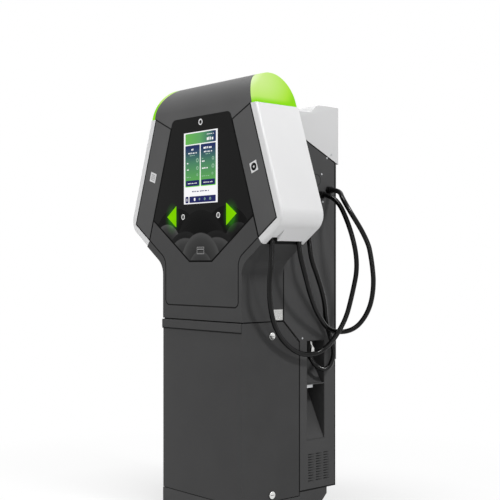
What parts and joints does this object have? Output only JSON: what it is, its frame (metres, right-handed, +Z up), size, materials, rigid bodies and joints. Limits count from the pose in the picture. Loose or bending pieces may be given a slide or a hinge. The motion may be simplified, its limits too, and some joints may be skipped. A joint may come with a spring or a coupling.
{
  "type": "ev charging post",
  "caption": "Freestanding electric vehicle charging post with a wide lit head, screen, push buttons, hanging cables, parking pockets, lift-off cover and rear door.",
  "frame": {"origin": "centre of the bounding box's base, without the cables", "axes": "+Z up, -Y towards the front face, +X towards the viewer's right of the front face"},
  "size_m": [1.0036, 0.5718, 1.855],
  "materials": {
    "charcoal_paint": "fine satin powder coat",
    "graphite_paint": "satin powder coat",
    "white_paint": "gloss powder coat",
    "plinth_paint": "matt powder coat",
    "galvanised_steel": "galvanised",
    "bright_metal": "polished",
    "dark_glass": "gloss, printed",
    "screen": "lit display",
    "lime_lens": "translucent, lit",
    "black_plastic": "fine texture",
    "grey_plastic": "satin",
    "pocket_plastic": "fine texture",
    "cable_rubber": "satin",
    "seal_rubber": "matt",
    "tag_print": "printed",
    "circuit_board": "satin"
  },
  "bodies": {
    "cabinet": {"base_plinth": "plinth_paint", "inner_frame": "galvanised_steel", "mounting_plate": "galvanised_steel", "front_housing": "graphite_paint", "carrier_plate": "galvanised_steel", "front_hatch": "graphite_paint", "left_front_panel": "graphite_paint", "right_front_panel": "graphite_paint", "display_glass": "dark_glass", "display_module": "screen", "arrow_lights": "lime_lens", "button_bezels": "bright_metal", "card_reader": "black_plastic", "connector_tags": "tag_print", "left_wing": "white_paint", "right_wing": "white_paint", "top_cover": "graphite_paint", "left_light": "lime_lens", "right_light": "lime_lens", "led_boards": "circuit_board", "left_side_plate": "graphite_paint", "right_side_plate": "graphite_paint", "left_niche": "pocket_plastic", "right_niche": "pocket_plastic", "holder_plates": "galvanised_steel", "rear_lower_panel": "graphite_paint", "rear_cap": "white_paint", "door_hinges": "black_plastic", "fan_housings": "black_plastic", "power_modules": "grey_plastic", "din_rails": "galvanised_steel", "rail_devices": "grey_plastic", "controller_unit": "grey_plastic", "left_holster": "black_plastic", "right_holster": "black_plastic", "front_plug": "black_plastic", "rear_plug": "black_plastic", "pocket_plug": "black_plastic", "front_cable": "cable_rubber", "rear_cable": "cable_rubber", "pocket_cable": "cable_rubber", "cable_glands": "black_plastic", "data_plate": "bright_metal", "panel_screws": "bright_metal"},
    "front_cover": {"lower_cover": "charcoal_paint", "cover_lip": "charcoal_paint"},
    "left_low_lock": {"left_low_lock": "bright_metal"},
    "left_high_lock": {"left_high_lock": "bright_metal"},
    "right_low_lock": {"right_low_lock": "bright_metal"},
    "right_high_lock": {"right_high_lock": "bright_metal"},
    "rear_door": {"rear_door": "graphite_paint", "door_gasket": "seal_rubber", "handle_base": "black_plastic"},
    "door_handle": {"door_handle": "black_plastic"},
    "left_fan_rotor": {"left_fan_rotor": "black_plastic"},
    "right_fan_rotor": {"right_fan_rotor": "black_plastic"},
    "left_button": {"left_button": "bright_metal"},
    "right_button": {"right_button": "bright_metal"},
    "release_lever": {"release_lever": "grey_plastic"}
  },
  "joints": [
    {"name": "cover_slide", "type": "slide", "parent": "cabinet", "child": "front_cover", "axis": [0, -1, 0], "range_m": [0, 0.33]},
    {"name": "left_low_lock_turn", "type": "hinge", "parent": "front_cover", "child": "left_low_lock", "pos_m": [-0.2655, -0.1125, 0.122], "axis": [-1, 0, 0], "range_deg": [0, 90]},
    {"name": "left_high_lock_turn", "type": "hinge", "parent": "front_cover", "child": "left_high_lock", "pos_m": [-0.2655, -0.1125, 0.777], "axis": [-1, 0, 0], "range_deg": [0, 90]},
    {"name": "right_low_lock_turn", "type": "hinge", "parent": "front_cover", "child": "right_low_lock", "pos_m": [0.2655, -0.1125, 0.122], "axis": [1, 0, 0], "range_deg": [0, 90]},
    {"name": "right_high_lock_turn", "type": "hinge", "parent": "front_cover", "child": "right_high_lock", "pos_m": [0.2655, -0.1125, 0.777], "axis": [1, 0, 0], "range_deg": [0, 90]},
    {"name": "door_swing", "type": "hinge", "parent": "cabinet", "child": "rear_door", "pos_m": [-0.2715, 0.2645, 1.084], "axis": [0, 0, 1], "range_deg": [0, 110]},
    {"name": "door_handle_turn", "type": "hinge", "parent": "rear_door", "child": "door_handle", "pos_m": [0.215, 0.2715, 1.11], "axis": [0, -1, 0], "range_deg": [0, 90]},
    {"name": "left_fan_spin", "type": "hinge", "parent": "cabinet", "child": "left_fan_rotor", "pos_m": [-0.11, 0.2385, 0.215], "axis": [0, 1, 0], "continuous": true},
    {"name": "right_fan_spin", "type": "hinge", "parent": "cabinet", "child": "right_fan_rotor", "pos_m": [0.11, 0.2385, 0.215], "axis": [0, 1, 0], "continuous": true},
    {"name": "left_button_press", "type": "slide", "parent": "cabinet", "child": "left_button", "axis": [0, 1, 0], "range_m": [0, 0.002], "stiffness_N_per_m": 1500, "springref_m": -0.001},
    {"name": "right_button_press", "type": "slide", "parent": "cabinet", "child": "right_button", "axis": [0, 1, 0], "range_m": [0, 0.002], "stiffness_N_per_m": 1500, "springref_m": -0.001},
    {"name": "lever_press", "type": "hinge", "parent": "cabinet", "child": "release_lever", "pos_m": [0.248, 0.1005, 0.738], "axis": [-1, 0, 0], "range_deg": [0, 10], "stiffness_Nm_per_rad": 0.4, "springref_deg": -5.73}
  ]
}
